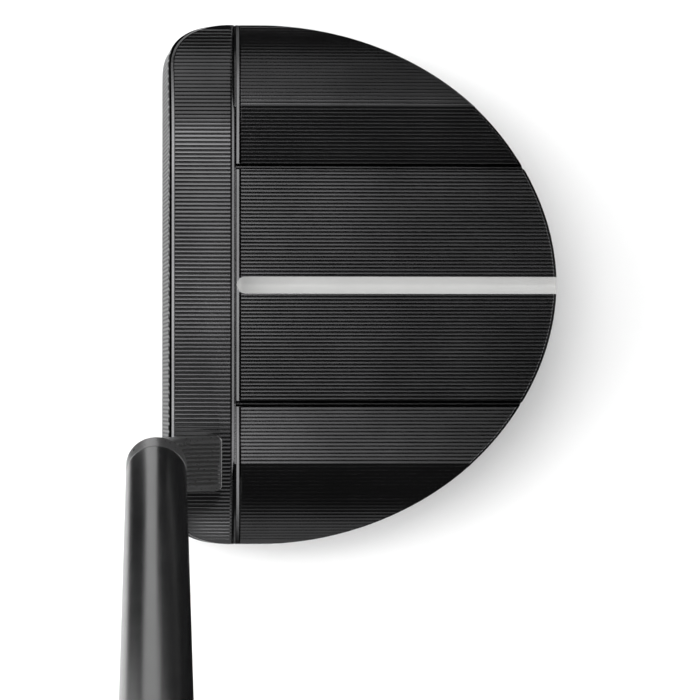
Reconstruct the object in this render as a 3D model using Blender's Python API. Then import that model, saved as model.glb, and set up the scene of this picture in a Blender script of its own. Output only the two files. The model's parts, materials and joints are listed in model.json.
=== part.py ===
"""A right-handed half-moon mallet putter, as the separate pieces that it is assembled from.

Frame: the origin is on the ground under the sight line, +X points to the heel (towards the player),
+Y to the back of the head, +Z up. Lengths below are millimetres and are scaled once, in add_piece.
"""

import math

import bmesh
import bpy
from mathutils import Vector

MM = 0.001
GAP = 0.3  # clearance between pieces that touch
EPOXY_GAP = 0.15  # clearance on each side of the thin layers on the shaft

# Head outline, seen from above: a superellipse behind the face, rounded corners in front
HEAD_CENTRE_X = -0.3
HEAD_HALF_LENGTH = 48.25
OUTLINE_CENTRE_Y = -17.9
OUTLINE_DEPTH = 54.5
OUTLINE_POWER = 1.94
CORNER_START = 39.4
CORNER_BACK_Y = -24.0
CORNER_POWER = 2.55
LEADING_Y = -36.4
LOFT = math.radians(3)

# Heights across the head
BAR_TOP = 25.0
BAR_FLAT = 25.0  # half length of the level part of the bar
BAR_ROLL = 40.0  # radius that the bar's ends roll down with
BAR_FALL = math.radians(1.5)  # slope of the bar's top towards the face
PLATEAU_TOP = 23.0
CHANNEL_X = 21.9
CHANNEL_WIDTH = 0.83
CHANNEL_FLOOR = 21.9
SHOULDER_LOW = 22.5
SHOULDER_SLOPE = math.radians(5)
RIDGE_X = 33.0
WING_ROLL = 27.0
WING_CENTRE_X = 30.6
SOLE_FLAT = 36.0  # half length of the level part of the sole
SOLE_ROLL = 12.0

# The bar's rounded rear edge, the groove and the deck's raised lip, from front to back
BAR_REAR_Y = -23.15
BAR_REAR_ROUND = 0.85
GROOVE_FLOOR_Y = (-23.1, -22.9)
GROOVE_DEPTH = 1.0
LIP_Y = (-22.85, -22.5, -22.0)
LIP_HEIGHT = 0.12

# Sight line, cut with a 1/8 in (3.175 mm) cutter
SIGHT_HALF_WIDTH = 1.5875
SIGHT_FRONT_Y = -22.7
SIGHT_FLOOR = 21.5
SIGHT_FILL_TOP = 22.5
SIGHT_FILL_GAP = 0.1

# Pocket under the deck, its cover and its screws
PLATE_INSET = 8.5
PLATE_FRONT_Y = 3.5
PLATE_THICKNESS = 1.8
POCKET_INSET = 14.0
POCKET_FRONT_Y = 8.5
POCKET_TOP = 19.0
SCREW_INSET = 11.4
SCREW_SIDE_X = 28.5
SCREW_BACK_X = 13.0
SCREW_FRONT_X = 10.0

# Threaded sole weights
WEIGHT_X = 27.0
WEIGHT_Y = -10.0
WEIGHT_HEAD_RADIUS = 7.5
WEIGHT_THREAD_RADIUS = 6.0
WEIGHT_HEAD_Z = (0.15, 2.0)
WEIGHT_TOP = 9.5
SEAL_Z = (2.1, 3.0)
SEAL_RADII = (6.45, 7.35)

# Shaft axis: it meets the ground at this point and leans to the player
LIE = math.radians(70)
AXIS_GROUND = Vector((14.5, -37.5, 0.0))
AXIS = Vector((math.cos(LIE), 0.0, math.sin(LIE)))
ACROSS = Vector((0.0, 1.0, 0.0))
UPPER_SIDE = Vector((-math.sin(LIE), 0.0, math.cos(LIE)))

# Neck, from the bar to the round collar, with a tenon below and a post above
NECK_BASE = Vector((32.9, -30.1))
NECK_FLAT = 3.9  # half width of its flat milled back
NECK_ROUND = (1.0, 1.5)
NECK_DEPTHS = (4.3, 3.5)  # half depth at the bar and at the collar
TENON_HALF = (4.0, 3.3)
TENON_BOTTOM = 13.3
COLLAR_S = (53.2, 57.9)
COLLAR_RADIUS = 5.35
POST_RADIUS = 3.7
POST_TOP_S = 80.0

# Shaft and grip, by distance along the axis from the ground
SHAFT_TIP_S = 58.2
SHAFT_TIP_RADIUS = 5.35
SHAFT_TAPER = 0.0078  # of diameter, per unit of length
SHAFT_BUTT_RADIUS = 7.62
SHAFT_WALL = 0.5
SHAFT_BORE_RADIUS = 4.4
CLUB_LENGTH = 889.0
GRIP_START_S = 622.0
GRIP_WALL = 1.3
GRIP_STATIONS = (  # distance along the axis, half width, height of the flat, depth of the back
    (622.0, 10.6, 9.9, 10.6),
    (640.0, 11.3, 10.1, 11.3),
    (700.0, 12.2, 10.3, 12.6),
    (770.0, 12.9, 10.5, 14.0),
    (830.0, 13.3, 10.6, 15.8),
    (868.0, 13.5, 10.7, 17.6),
    (882.0, 13.4, 10.7, 17.9),
    (889.0, 13.1, 10.6, 17.4),
)
SIDES = 32  # points round the neck, the shaft and the grip


# ---------------------------------------------------------------- building blocks

def clear_scene():
    for obj in list(bpy.data.objects):
        bpy.data.objects.remove(obj, do_unlink=True)


def make_material(name, colour, roughness, metallic):
    material = bpy.data.materials.new(name)
    material.use_nodes = True
    shader = material.node_tree.nodes["Principled BSDF"]
    shader.inputs["Base Color"].default_value = (*colour, 1.0)
    shader.inputs["Roughness"].default_value = roughness
    shader.inputs["Metallic"].default_value = metallic
    material.diffuse_color = (*colour, 1.0)
    return material


def rings_mesh(rings, closed=False):
    """A body through rings of equally many points: capped at both ends, or closed on itself."""
    mesh = bmesh.new()
    loops = [[mesh.verts.new(point) for point in ring] for ring in rings]
    pairs = list(zip(loops, loops[1:]))
    if closed:
        pairs.append((loops[-1], loops[0]))
    else:
        mesh.faces.new(loops[0])
        mesh.faces.new(loops[-1])
    for low, high in pairs:
        for i in range(len(low)):
            j = (i + 1) % len(low)
            mesh.faces.new((low[i], low[j], high[j], high[i]))
    bmesh.ops.recalc_face_normals(mesh, faces=mesh.faces)
    return mesh


def prism(outline, low, high):
    return rings_mesh([[(x, y, z) for x, y in outline] for z in (low, high)])


def circle(radius, sides=SIDES):
    angles = [math.tau * (i + 0.5) / sides for i in range(sides)]
    return [(radius * math.cos(a), radius * math.sin(a)) for a in angles]


def turned(profile, x=0.0, y=0.0, sides=SIDES, closed=False):
    """A body turned about an upright axis from (radius, z) steps."""
    rings = [[(x + u, y + v, z) for u, v in circle(radius, sides)] for radius, z in profile]
    return rings_mesh(rings, closed)


def add_piece(name, mesh, material, origin=(0.0, 0.0, 0.0)):
    """Makes an object whose origin is at the given point, in metres."""
    origin = Vector(origin)
    bmesh.ops.translate(mesh, verts=mesh.verts, vec=-origin)
    bmesh.ops.scale(mesh, verts=mesh.verts, vec=(MM, MM, MM))
    data = bpy.data.meshes.new(name)
    mesh.to_mesh(data)
    mesh.free()
    data.shade_smooth()
    data.set_sharp_from_angle(angle=math.radians(30))
    obj = bpy.data.objects.new(name, data)
    obj.location = origin * MM
    if material:
        data.materials.append(material)
    bpy.context.scene.collection.objects.link(obj)
    return obj


def cut(target, name, mesh):
    """Takes the mesh out of the target, with a cutter that isn't part of the object."""
    cutter = add_piece(name, mesh, None)
    cutter.hide_render = True
    cutter.display_type = "WIRE"
    boolean = target.modifiers.new(name, "BOOLEAN")
    boolean.operation = "DIFFERENCE"
    boolean.solver = "EXACT"
    boolean.object = cutter


def axis_ring(s, points):
    """Points given as (across, towards the upper side), at the distance s along the shaft axis."""
    centre = AXIS_GROUND + AXIS * s
    return [centre + ACROSS * u + UPPER_SIDE * v for u, v in points]


# ---------------------------------------------------------------- head shape

def outline_y(x, inset=0.0):
    """The back of the outline at x, drawn in by an inset."""
    share = min(abs(x - HEAD_CENTRE_X) / (HEAD_HALF_LENGTH - inset), 1.0)
    rest = (1.0 - share**OUTLINE_POWER) ** (1.0 / OUTLINE_POWER)
    return OUTLINE_CENTRE_Y + (OUTLINE_DEPTH - inset) * rest


def front_y(x):
    """The leading edge at x: straight, with rounded toe and heel corners."""
    beyond = abs(x - HEAD_CENTRE_X) - CORNER_START
    if beyond <= 0:
        return LEADING_Y
    share = min(beyond / (HEAD_HALF_LENGTH - CORNER_START), 1.0)
    rest = (1.0 - share**CORNER_POWER) ** (1.0 / CORNER_POWER)
    return CORNER_BACK_Y + (LEADING_Y - CORNER_BACK_Y) * rest


def roll_down(distance, radius):
    """How far a round shoulder has dropped, this far beyond its crest."""
    return radius - math.sqrt(radius**2 - distance**2)


def bar_z(x):
    """The crest of the bar at x, along its rear edge."""
    return BAR_TOP - roll_down(max(abs(x) - BAR_FLAT, 0.0), BAR_ROLL)


def bar_top(x, y):
    """The top of the bar, which falls a little towards the face."""
    return bar_z(x) - math.tan(BAR_FALL) * (BAR_REAR_Y - y)


def deck_z(x):
    away = abs(x)
    if away < CHANNEL_X:
        return PLATEAU_TOP
    rise = math.tan(SHOULDER_SLOPE) * (min(away, RIDGE_X) - CHANNEL_X)
    if away <= RIDGE_X:
        return SHOULDER_LOW + rise
    crest = roll_down(RIDGE_X - WING_CENTRE_X, WING_ROLL)
    return SHOULDER_LOW + rise + crest - roll_down(away - WING_CENTRE_X, WING_ROLL)


def sole_z(x):
    return roll_down(max(abs(x - HEAD_CENTRE_X) - SOLE_FLAT, 0.0), SOLE_ROLL + 1.0)


def head_section(x):
    """The head's closed outline in the plane at x, from the leading edge over the top to the back."""
    front, back = front_y(x), outline_y(x)
    sole, bar, deck = sole_z(x), bar_z(x), deck_z(x)
    groove = min(bar, deck) - GROOVE_DEPTH
    depth = back - front
    rim = 0.5 if abs(x) < RIDGE_X else 0.12
    face_top = bar_top(x, front)
    face_top_y = front + math.tan(LOFT) * face_top
    bevel = min(0.55, 0.4 * (BAR_REAR_Y - face_top_y))
    rear_round = min(BAR_REAR_ROUND, 0.4 * (BAR_REAR_Y - face_top_y))
    lead_round = min(1.8, 0.2 * depth)
    back_round = min(6.0, 0.3 * depth)
    bevel_y = face_top_y + bevel
    flat_end_y = BAR_REAR_Y - rear_round
    return [
        (front + lead_round, sole),
        (front + 0.25 * lead_round, sole + 0.5),
        (front + math.tan(LOFT) * (sole + 1.6), sole + 1.6),
        (face_top_y, face_top - bevel),
        (bevel_y, bar_top(x, bevel_y)),
        (flat_end_y, bar_top(x, flat_end_y)),
        (BAR_REAR_Y - 0.5 * rear_round, bar - 0.2 * rear_round),
        (BAR_REAR_Y, bar - 0.65 * rear_round),
        (GROOVE_FLOOR_Y[0], groove),
        (GROOVE_FLOOR_Y[1], groove),
        (LIP_Y[0], deck - LIP_HEIGHT),
        (LIP_Y[1], deck + LIP_HEIGHT),
        (LIP_Y[2], deck),
        (back - rim, deck),
        (back, deck - 1.2 * rim),
        (back - 0.1 * back_round, sole + 6.5),
        (back - 0.4 * back_round, sole + 2.2),
        (back - back_round, sole),
    ]


def head_columns(count=57):
    """Where the head's sections are: closer together at the ends, and on each crease."""
    limit = 0.985 * math.pi / 2
    angles = [limit * (2 * i / (count - 1) - 1) for i in range(count)]
    columns = [HEAD_CENTRE_X + HEAD_HALF_LENGTH * math.sin(a) for a in angles]
    half = CHANNEL_WIDTH / 2
    creases = (CHANNEL_X - half, CHANNEL_X, RIDGE_X, BAR_FLAT)
    fixed = [sign * crease for crease in creases for sign in (-1, 1)]
    kept = [x for x in columns if min(abs(x - f) for f in fixed) > 0.4]
    return sorted(kept + fixed)


def half_moon(inset, straight_y, count=24):
    """The outline drawn in by an inset, behind a straight front edge."""
    low, high = 0.0, HEAD_HALF_LENGTH - inset
    for _ in range(40):
        middle = (low + high) / 2
        if outline_y(HEAD_CENTRE_X + middle, inset) > straight_y:
            low = middle
        else:
            high = middle
    angles = [math.pi / 2 * (2 * i / (count - 1) - 1) for i in range(count)]
    points = [HEAD_CENTRE_X + low * math.sin(a) for a in angles]
    return [(x, max(outline_y(x, inset), straight_y)) for x in points]


def sight_outline(offset, back_y):
    """The sight line from above: a half-round front end and straight sides."""
    radius = SIGHT_HALF_WIDTH - offset
    centre_y = SIGHT_FRONT_Y + SIGHT_HALF_WIDTH
    angles = [math.pi * (1 + i / 12) for i in range(13)]
    front = [(radius * math.cos(a), centre_y + radius * math.sin(a)) for a in angles]
    return [(-radius, back_y), *front, (radius, back_y)]


def sole_screw_places():
    """Six screws along the plate's edge: two at the front, two at the sides and two at the back."""
    front_row = (PLATE_FRONT_Y + POCKET_FRONT_Y) / 2
    places = [(SCREW_FRONT_X, front_row)]
    places += [(x, outline_y(x, SCREW_INSET)) for x in (SCREW_SIDE_X, SCREW_BACK_X)]
    return [(sign * x, y) for sign in (-1, 1) for x, y in places]


# ---------------------------------------------------------------- pieces of the head

def make_head(material):
    sections = [[(x, y, z) for y, z in head_section(x)] for x in head_columns()]
    head = add_piece("head_body", rings_mesh(sections), material)
    beyond = OUTLINE_CENTRE_Y + OUTLINE_DEPTH + 5.0
    above = BAR_TOP + 5.0
    for side, label in ((-1, "toe"), (1, "heel")):
        left = side * CHANNEL_X - CHANNEL_WIDTH / 2
        right = left + CHANNEL_WIDTH
        channel = [(left, LIP_Y[0] - 0.1), (right, LIP_Y[0] - 0.1), (right, beyond), (left, beyond)]
        cut(head, f"cut_{label}_channel", prism(channel, CHANNEL_FLOOR, above))
        bore = [
            (WEIGHT_HEAD_RADIUS + GAP, -1.0),
            (WEIGHT_HEAD_RADIUS + GAP, SEAL_Z[1] + GAP),
            (WEIGHT_THREAD_RADIUS + GAP, SEAL_Z[1] + GAP),
            (WEIGHT_THREAD_RADIUS + GAP, WEIGHT_TOP + 0.7),
        ]
        cut(head, f"cut_{label}_weight_bore", turned(bore, side * WEIGHT_X, WEIGHT_Y))
    cut(head, "cut_sight_line", prism(sight_outline(0.0, beyond), SIGHT_FLOOR, above))
    recess = half_moon(PLATE_INSET - GAP, PLATE_FRONT_Y - GAP)
    cut(head, "cut_plate_recess", prism(recess, -1.0, PLATE_THICKNESS + GAP))
    cut(head, "cut_pocket", prism(half_moon(POCKET_INSET, POCKET_FRONT_Y), -1.0, POCKET_TOP))
    for number, (x, y) in enumerate(sole_screw_places(), 1):
        hole = turned([(1.4, 0.5), (1.4, 8.6)], x, y, sides=16)
        cut(head, f"cut_sole_screw_hole_{number}", hole)
    socket = rounded_rectangle(TENON_HALF[0] + GAP, TENON_HALF[1] + GAP, (0.6, 0.6))
    socket = [(NECK_BASE.x + u, NECK_BASE.y + v) for u, v in socket]
    cut(head, "cut_neck_socket", prism(socket, TENON_BOTTOM - GAP, above))
    hole = [(3.8, -1.0), (3.8, 4.3), (2.2, 4.3), (2.2, TENON_BOTTOM + 1.0)]
    cut(head, "cut_neck_screw_hole", turned(hole, NECK_BASE.x, NECK_BASE.y))
    return head


def make_sight_line(material):
    back_y = outline_y(0.0) - 0.8
    fill = prism(sight_outline(SIGHT_FILL_GAP, back_y), SIGHT_FLOOR + SIGHT_FILL_GAP, SIGHT_FILL_TOP)
    add_piece("sight_line_inlay", fill, material)


def hexagon_socket(x, y, radius, low, high):
    return turned([(radius, low), (radius, high)], x, y, sides=6)


def make_sole_plate(material):
    plate = add_piece(
        "sole_plate", prism(half_moon(PLATE_INSET, PLATE_FRONT_Y), 0.0, PLATE_THICKNESS), material
    )
    for number, (x, y) in enumerate(sole_screw_places(), 1):
        hole = [(2.8, -1.0), (2.8, 0.15), (1.5, 1.45), (1.5, 3.0)]
        cut(plate, f"cut_countersink_{number}", turned(hole, x, y, sides=20))


def make_sole_screws(material):
    for number, (x, y) in enumerate(sole_screw_places(), 1):
        profile = [(2.45, 0.1), (2.45, 0.2), (1.15, 1.5), (1.15, 7.8), (0.8, 8.1)]
        screw = add_piece(
            f"sole_screw_{number}", turned(profile, x, y, sides=20), material, (x, y, 0.0)
        )
        cut(screw, f"cut_sole_screw_drive_{number}", hexagon_socket(x, y, 1.0, -0.5, 1.1))


def make_damping_core(material):
    outline = half_moon(POCKET_INSET + GAP, POCKET_FRONT_Y + GAP)
    core = prism(outline, PLATE_THICKNESS + GAP, POCKET_TOP - GAP)
    add_piece("damping_core", core, material)


def make_weight(label, side, metal, rubber):
    x = side * WEIGHT_X
    bottom, shoulder = WEIGHT_HEAD_Z
    profile = [
        (WEIGHT_HEAD_RADIUS - 0.4, bottom),
        (WEIGHT_HEAD_RADIUS, bottom + 0.4),
        (WEIGHT_HEAD_RADIUS, shoulder),
        (WEIGHT_THREAD_RADIUS, shoulder),
        (WEIGHT_THREAD_RADIUS, WEIGHT_TOP - 0.6),
        (WEIGHT_THREAD_RADIUS - 0.6, WEIGHT_TOP),
    ]
    origin = (x, WEIGHT_Y, shoulder)
    weight = add_piece(f"{label}_weight", turned(profile, x, WEIGHT_Y), metal, origin)
    cut(weight, f"cut_{label}_weight_drive", hexagon_socket(x, WEIGHT_Y, 3.1, -0.5, 4.0))
    low, high = SEAL_Z
    inner, outer = SEAL_RADII
    middle, quarter = (inner + outer) / 2, (high - low) / 4
    profile = [
        (middle, low),
        (outer, low + quarter),
        (outer, high - quarter),
        (middle, high),
        (inner, high - quarter),
        (inner, low + quarter),
    ]
    ring = turned(profile, x, WEIGHT_Y, closed=True)
    add_piece(f"{label}_weight_seal", ring, rubber, (x, WEIGHT_Y, low))


# ---------------------------------------------------------------- neck and its screw

def rounded_rectangle(half_x, half_y, corner):
    """SIDES points round a rectangle, a quarter of them on each rounded corner."""
    each = SIDES // 4
    points = []
    for i in range(SIDES):
        quarter, step = divmod(i, each)
        angle = math.pi / 2 * (quarter + step / (each - 1))
        sign_x = 1 if quarter in (0, 3) else -1
        sign_y = 1 if quarter in (0, 1) else -1
        x = sign_x * (half_x - corner[0]) + corner[0] * math.cos(angle)
        y = sign_y * (half_y - corner[1]) + corner[1] * math.sin(angle)
        points.append((x, y))
    return points


def neck_section(share):
    """The neck's section this far from the bar to the collar: its back stays flat, its plane tips over."""
    lean = (math.pi / 2 - LIE) * share**2
    half_depth = NECK_DEPTHS[0] + (NECK_DEPTHS[1] - NECK_DEPTHS[0]) * share
    collar = AXIS_GROUND + AXIS * COLLAR_S[0]
    base = Vector((NECK_BASE.x, NECK_BASE.y, BAR_TOP + 1.5))
    top = Vector((collar.x, collar.y, collar.z))
    centre = base.lerp(top, share)
    along = Vector((math.cos(lean), 0.0, -math.sin(lean)))
    shape = rounded_rectangle(NECK_FLAT + NECK_ROUND[0], half_depth, NECK_ROUND)
    return [centre + along * u + ACROSS * v for u, v in shape]


def make_neck(material):
    def on_bar(half_x, half_y, corner, lift):
        shape = rounded_rectangle(half_x, half_y, corner)
        points = [(NECK_BASE.x + u, NECK_BASE.y + v) for u, v in shape]
        return [(x, y, bar_top(x, y) + lift) for x, y in points]

    tenon = rounded_rectangle(*TENON_HALF, (0.6, 0.6))
    bottom = [(NECK_BASE.x + u, NECK_BASE.y + v, TENON_BOTTOM) for u, v in tenon]
    rings = [
        bottom,
        on_bar(*TENON_HALF, (0.6, 0.6), GAP),
        on_bar(NECK_FLAT + NECK_ROUND[0], NECK_DEPTHS[0], NECK_ROUND, GAP),
    ]
    rings += [neck_section(share) for share in (0.0, 0.2, 0.4, 0.6, 0.8, 1.0)]
    collar_low, collar_high = COLLAR_S
    steps = [
        (COLLAR_RADIUS, collar_low),
        (COLLAR_RADIUS, collar_high),
        (POST_RADIUS, collar_high),
        (POST_RADIUS, POST_TOP_S - 1.0),
        (POST_RADIUS - 0.8, POST_TOP_S),
    ]
    rings += [axis_ring(s, neck_circle(radius)) for radius, s in steps]
    neck = add_piece("hosel_neck", rings_mesh(rings), material)
    hole = turned([(2.1, TENON_BOTTOM - 1.0), (2.1, 20.3)], NECK_BASE.x, NECK_BASE.y, sides=20)
    cut(neck, "cut_neck_thread", hole)


def neck_circle(radius):
    """A circle whose points follow the same order as a neck section, seen along the axis."""
    return [(v, -u) for u, v in circle(radius)]


def make_neck_screw(material):
    profile = [(3.2, 0.4), (3.5, 0.7), (3.5, 4.0), (1.95, 4.0), (1.95, 19.3), (1.5, 19.8)]
    x, y = NECK_BASE
    screw = add_piece("neck_screw", turned(profile, x, y, sides=24), material, (x, y, 0.0))
    cut(screw, "cut_neck_screw_drive", hexagon_socket(x, y, 1.8, -0.5, 2.6))


# ---------------------------------------------------------------- shaft and grip

def shaft_radius(s):
    return min(SHAFT_TIP_RADIUS + SHAFT_TAPER / 2 * (s - SHAFT_TIP_S), SHAFT_BUTT_RADIUS)


def tube_on_axis(outer, inner):
    """A tube from (distance, radius) steps of its outside and of its bore, both tip to butt."""
    rings = [axis_ring(s, circle(radius)) for s, radius in outer]
    rings += [axis_ring(s, circle(radius)) for s, radius in reversed(inner)]
    return rings_mesh(rings, closed=True)


def make_shaft(material):
    """A tapered tube: its bore is narrow round the neck's post and follows the outside above it."""
    full_s = SHAFT_TIP_S + 2 * (SHAFT_BUTT_RADIUS - SHAFT_TIP_RADIUS) / SHAFT_TAPER
    post_end = POST_TOP_S + 4.0
    outer = [(s, shaft_radius(s)) for s in (SHAFT_TIP_S, 250.0, 450.0, full_s, CLUB_LENGTH)]
    inner = [(SHAFT_TIP_S, SHAFT_BORE_RADIUS), (post_end, SHAFT_BORE_RADIUS)]
    inner += [(s, shaft_radius(s) - SHAFT_WALL) for s in (post_end + 20.0, full_s, CLUB_LENGTH)]
    add_piece("shaft", tube_on_axis(outer, inner), material)


def make_epoxy(material):
    outer, inner = SHAFT_BORE_RADIUS - EPOXY_GAP, POST_RADIUS + EPOXY_GAP
    ends = (SHAFT_TIP_S + 0.5, POST_TOP_S - 1.0)
    sleeve = tube_on_axis([(s, outer) for s in ends], [(s, inner) for s in ends])
    add_piece("shaft_epoxy", sleeve, material)


def grip_size(s):
    """Half width, height of the flat and depth of the back at the distance s, between the stations."""
    for low, high in zip(GRIP_STATIONS, GRIP_STATIONS[1:]):
        if s <= high[0]:
            break
    share = min(max((s - low[0]) / (high[0] - low[0]), 0.0), 1.0)
    return [a + (b - a) * share for a, b in zip(low[1:], high[1:])]


def grip_section(s, inset):
    """A pistol grip's section: a flat on the upper side, full sides and a rounded back."""
    width, flat, back = (size - inset for size in grip_size(s))
    points = []
    for u, v in circle(1.0):
        power = 0.62 if v > 0 else 0.88
        across = width * math.copysign(abs(u) ** power, u)
        reach = flat * 1.12 if v > 0 else back
        rise = reach * math.copysign(abs(v) ** power, v)
        points.append((across, min(rise, flat)))
    return points


def grip_tube(inset, bore):
    stations = [station[0] for station in GRIP_STATIONS]
    rings = [axis_ring(s, grip_section(s, inset)) for s in stations]
    for s in reversed(stations):
        inside = circle(bore) if bore else grip_section(s, GRIP_WALL)
        rings.append(axis_ring(s, inside))
    return rings_mesh(rings, closed=True)


def make_grip(tape, foam, skin, cap):
    tape_inner = SHAFT_BUTT_RADIUS + EPOXY_GAP
    tape_outer = tape_inner + 0.2
    ends = (GRIP_START_S + 2.0, CLUB_LENGTH - 2.0)
    layer = tube_on_axis([(s, tape_outer) for s in ends], [(s, tape_inner) for s in ends])
    add_piece("grip_tape", layer, tape)
    add_piece("grip_core", grip_tube(GRIP_WALL + EPOXY_GAP, tape_outer + EPOXY_GAP), foam)
    add_piece("grip_skin", grip_tube(0.0, None), skin)

    plug = SHAFT_BUTT_RADIUS - SHAFT_WALL - GAP
    seat = CLUB_LENGTH + GAP
    steps = [(seat, 0.0), (seat + 2.2, 0.0), (seat + 3.0, 0.9)]
    rings = [axis_ring(CLUB_LENGTH - 12.0, circle(plug)), axis_ring(seat, circle(plug))]
    rings += [axis_ring(s, grip_section(CLUB_LENGTH, inset)) for s, inset in steps]
    vent = 1.2
    rings += [axis_ring(s, circle(vent)) for s in (seat + 3.0, CLUB_LENGTH - 12.0)]
    add_piece("grip_cap", rings_mesh(rings, closed=True), cap)


def main():
    clear_scene()
    black_anodised = make_material("black_anodised", (0.020, 0.020, 0.022), 0.38, 1.0)
    black_steel = make_material("black_steel", (0.020, 0.020, 0.022), 0.34, 1.0)
    gloss_black = make_material("gloss_black", (0.006, 0.006, 0.006), 0.12, 0.0)
    white_paint = make_material("white_paint", (0.82, 0.82, 0.82), 0.45, 0.0)
    dark_aluminium = make_material("dark_aluminium", (0.05, 0.05, 0.055), 0.35, 1.0)
    zinc_steel = make_material("zinc_steel", (0.42, 0.42, 0.44), 0.35, 1.0)
    tungsten = make_material("tungsten", (0.16, 0.16, 0.17), 0.30, 1.0)
    seal_rubber = make_material("seal_rubber", (0.015, 0.015, 0.015), 0.70, 0.0)
    polymer = make_material("polymer", (0.06, 0.09, 0.10), 0.55, 0.0)
    epoxy = make_material("epoxy", (0.55, 0.48, 0.30), 0.30, 0.0)
    tape = make_material("tape", (0.72, 0.68, 0.56), 0.75, 0.0)
    foam = make_material("foam", (0.12, 0.12, 0.13), 0.90, 0.0)
    grip_rubber = make_material("grip_rubber", (0.022, 0.022, 0.024), 0.62, 0.0)
    cap_rubber = make_material("cap_rubber", (0.030, 0.030, 0.032), 0.55, 0.0)

    make_head(black_anodised)
    make_sight_line(white_paint)
    make_damping_core(polymer)
    make_sole_plate(dark_aluminium)
    make_sole_screws(zinc_steel)
    make_weight("toe", -1, tungsten, seal_rubber)
    make_weight("heel", 1, tungsten, seal_rubber)
    make_neck(black_steel)
    make_neck_screw(zinc_steel)
    make_shaft(gloss_black)
    make_epoxy(epoxy)
    make_grip(tape, foam, grip_rubber, cap_rubber)


main()
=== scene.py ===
"""The looks of the mallet putter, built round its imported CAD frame.

The frame is in metres: +X to the heel, +Y to the back of the head, +Z up. Shapes below are worked out in
millimetres, as in the CAD source, and add_object scales them once.
"""

import json
import math

import bpy
import numpy as np
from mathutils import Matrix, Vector


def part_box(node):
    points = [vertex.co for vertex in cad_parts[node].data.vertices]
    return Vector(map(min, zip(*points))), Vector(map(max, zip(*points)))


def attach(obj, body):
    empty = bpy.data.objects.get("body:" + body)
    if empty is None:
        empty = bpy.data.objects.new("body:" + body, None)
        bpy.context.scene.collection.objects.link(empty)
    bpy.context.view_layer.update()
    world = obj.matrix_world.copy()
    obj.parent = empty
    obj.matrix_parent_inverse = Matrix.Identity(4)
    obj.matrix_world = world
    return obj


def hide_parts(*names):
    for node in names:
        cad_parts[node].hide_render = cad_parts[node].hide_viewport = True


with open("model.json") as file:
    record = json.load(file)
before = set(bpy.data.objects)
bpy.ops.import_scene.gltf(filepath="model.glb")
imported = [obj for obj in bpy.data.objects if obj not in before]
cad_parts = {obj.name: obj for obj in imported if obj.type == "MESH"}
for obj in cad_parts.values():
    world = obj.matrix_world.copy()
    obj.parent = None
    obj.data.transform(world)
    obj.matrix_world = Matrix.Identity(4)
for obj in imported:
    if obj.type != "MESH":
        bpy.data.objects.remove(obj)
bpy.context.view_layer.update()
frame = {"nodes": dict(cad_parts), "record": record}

MM = 0.001


def box_mm(node):
    low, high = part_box(node)
    return np.array(low) / MM, np.array(high) / MM


# ---------------------------------------------------------------- dimensions, in millimetres

HEAD_LOW, HEAD_HIGH = box_mm("head_body")
HEAD_CENTRE_X = float(HEAD_LOW[0] + HEAD_HIGH[0]) / 2
HEAD_HALF_LENGTH = float(HEAD_HIGH[0] - HEAD_LOW[0]) / 2
LEADING_Y = -36.4
OUTLINE_CENTRE_Y = -17.9
OUTLINE_DEPTH = float(HEAD_HIGH[1]) - OUTLINE_CENTRE_Y
OUTLINE_POWER = 1.94
CORNER_START = 39.4
CORNER_BACK_Y = -24.0
CORNER_POWER = 2.55
LOFT = math.radians(3)

BAR_TOP = float(HEAD_HIGH[2])
BAR_FLAT = 25.0
BAR_ROLL = 40.0
BAR_FALL = math.radians(1.5)
PLATEAU_TOP = 23.0
CHANNEL_X = 21.9
CHANNEL_WIDTH = 1.1
SHOULDER_LOW = 22.5
SHOULDER_SLOPE = math.radians(5)
RIDGE_X = 33.0
WING_ROLL = 27.0
WING_CENTRE_X = 30.6
SOLE_FLAT = 36.0
SOLE_ROLL = 13.0

BAR_REAR_Y = -23.2
BAR_REAR_ROUND = 0.75
BAR_SHOULDER = ((0.45, 0.26), (0.96, 0.74), (1.0, 0.84))  # back and down, in parts of the round
GROOVE_FRONT_Y = -23.1
GROOVE_BACK_Y = -22.9
GROOVE_DEPTH = 1.0
DECK_FRONT_Y = -21.88

LIP = (  # the raised lip behind the groove and the hollow behind it: steps back, heights over the deck
    (0.08, 0.28),
    (0.11, 0.33),
    (0.15, 0.32),
    (0.44, 0.06),
    (0.88, -0.30),
    (0.97, -0.04),
)

LINE_SCRATCH = 0.10
BAR_LINE_PITCH = 0.73
BAR_LINE_DEPTH = 0.022
DECK_LINE_PITCH = 0.66
DECK_LINE_DEPTH = 0.022
HEAD_CREASE = 15.0  # degrees: the cusps between milled lines stay sharp
FACE_FOOT = 2.4
BEVEL_SIZE, BEVEL_BACK = 0.44, 0.87  # the bevel over the face, and where it meets the bar's top
FACE_PITCH = 1.46
ROWS_PER_PITCH = 4  # mesh rows to each row of diamonds
FACE_RELIEF = 0.2
SLOT_STEPS = ((0.21, 0.02), (0.24, -0.75), (0.46, -0.85), (0.53, 0.0))  # along the top of the face: in, up

SIGHT_HALF_WIDTH = 1.5875
SIGHT_FRONT_Y = -22.7
SIGHT_FLOOR = 21.5

WEIGHT_HEAD_RADIUS = 7.5
WEIGHT_THREAD_RADIUS = 6.0
THREAD_PITCH = 1.25
GAP = 0.3

LIE = math.radians(70)
AXIS_GROUND = np.array([14.5, -37.5, 0.0])
AXIS = np.array([math.cos(LIE), 0.0, math.sin(LIE)])
ACROSS = np.array([0.0, 1.0, 0.0])
UPPER_SIDE = np.array([-math.sin(LIE), 0.0, math.cos(LIE)])

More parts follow.
